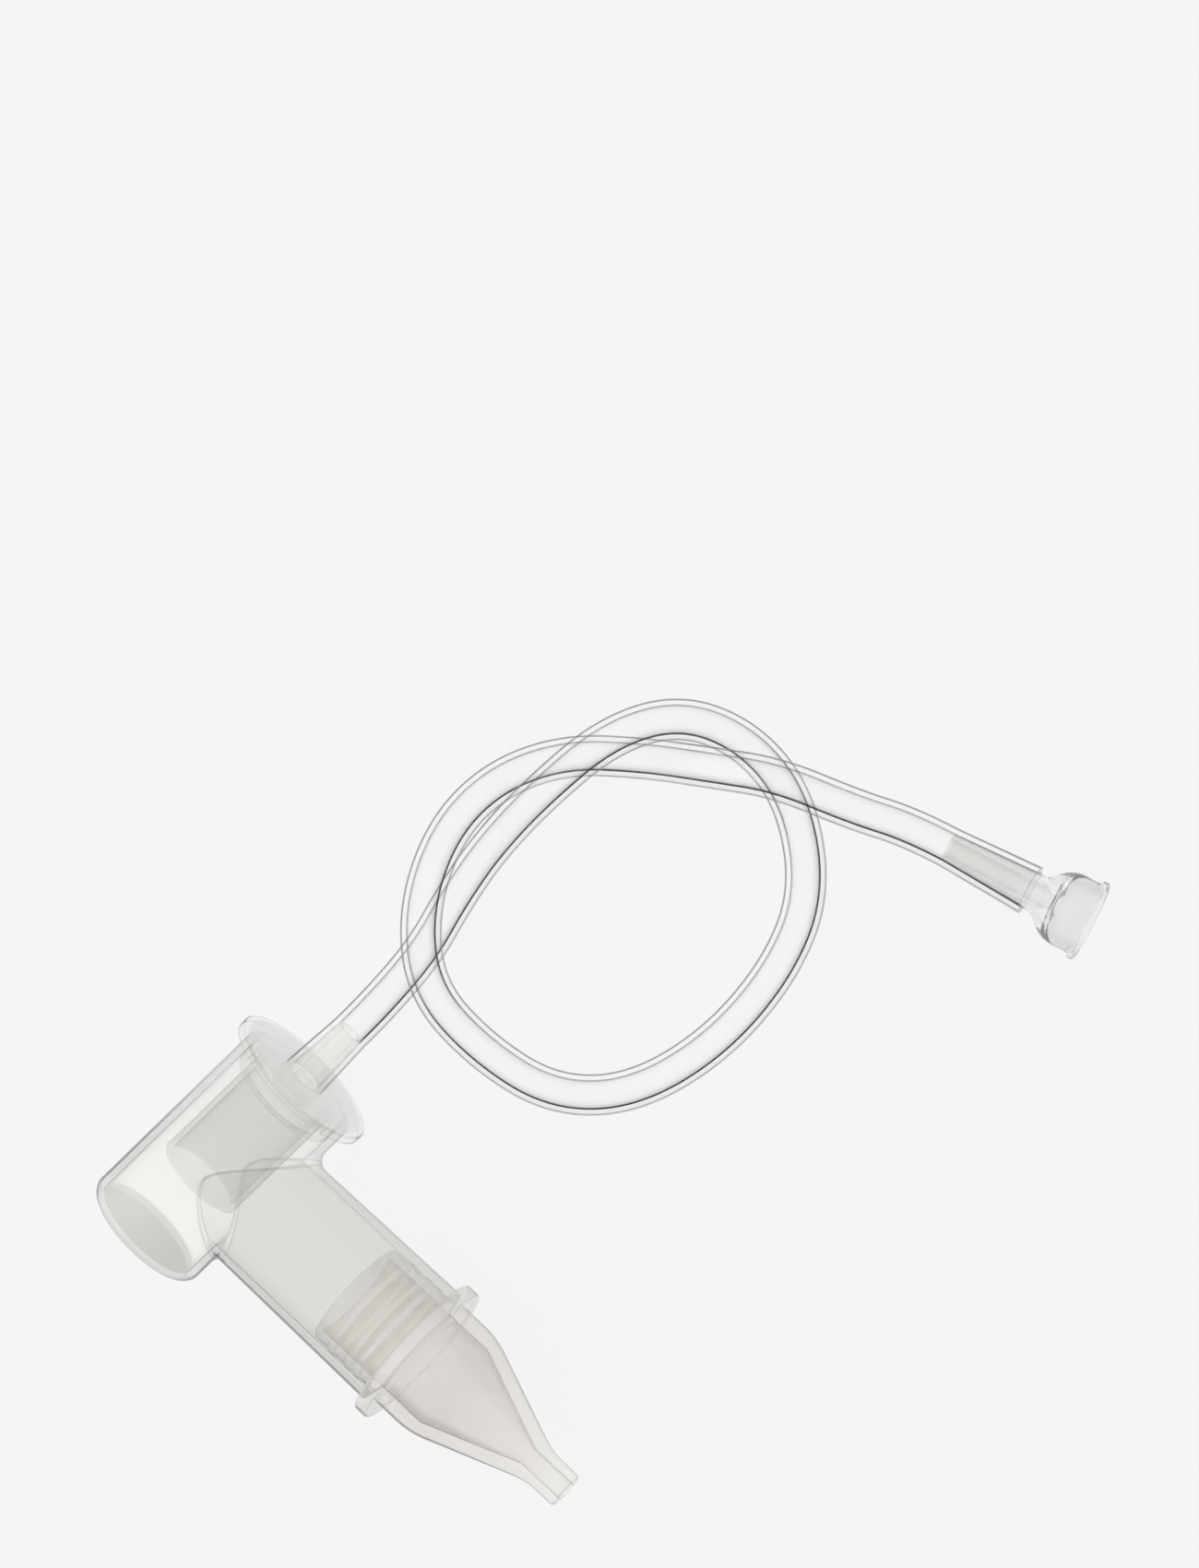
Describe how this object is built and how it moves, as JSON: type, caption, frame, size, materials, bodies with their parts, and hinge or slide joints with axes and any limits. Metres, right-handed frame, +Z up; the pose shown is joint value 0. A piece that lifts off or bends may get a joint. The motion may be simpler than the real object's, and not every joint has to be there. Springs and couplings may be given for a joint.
{
  "type": "nasal aspirator",
  "caption": "Mouth-suction baby nasal aspirator: T-shaped translucent chamber with a tapered nozzle, a capped baffle and a clear knotted tube with a flat mouthpiece.",
  "frame": {"origin": "on the floor that the object lies on, under the middle of the box of its rigid parts (chamber body, cap and nozzle)", "axes": "+X along the chamber towards its cap, +Z up from the floor; the side arm and nozzle run towards -Y, leaning 6 degrees towards the cap"},
  "size_m": [0.163, 0.1001, 0.028],
  "materials": {
    "translucent_plastic": "translucent, smooth moulded",
    "cap_plastic": "translucent, smooth moulded",
    "soft_nozzle": "soft translucent, faintly satin",
    "clear_tube": "clear, glossy, soft",
    "clear_plastic": "clear, glossy"
  },
  "bodies": {
    "chamber": {"chamber_body": "translucent_plastic"},
    "cap": {"cap": "cap_plastic"},
    "nozzle": {"nozzle": "soft_nozzle"},
    "tube": {"tube": "clear_tube"},
    "mouthpiece": {"mouthpiece": "clear_plastic"}
  },
  "joints": [
    {"name": "cap_pull", "type": "slide", "parent": "chamber", "child": "cap", "axis": [1, 0, 0], "range_m": [0, 0.025]},
    {"name": "nozzle_pull", "type": "slide", "parent": "chamber", "child": "nozzle", "axis": [0.1045, -0.9945, 0], "range_m": [0, 0.014]},
    {"name": "tube_pull", "type": "slide", "parent": "cap", "child": "tube", "axis": [1, 0, 0], "range_m": [0, 0.012]},
    {"name": "mouthpiece_pull", "type": "slide", "parent": "tube", "child": "mouthpiece", "axis": [0.3451, -0.9386, 0], "range_m": [0, 0.016]}
  ]
}
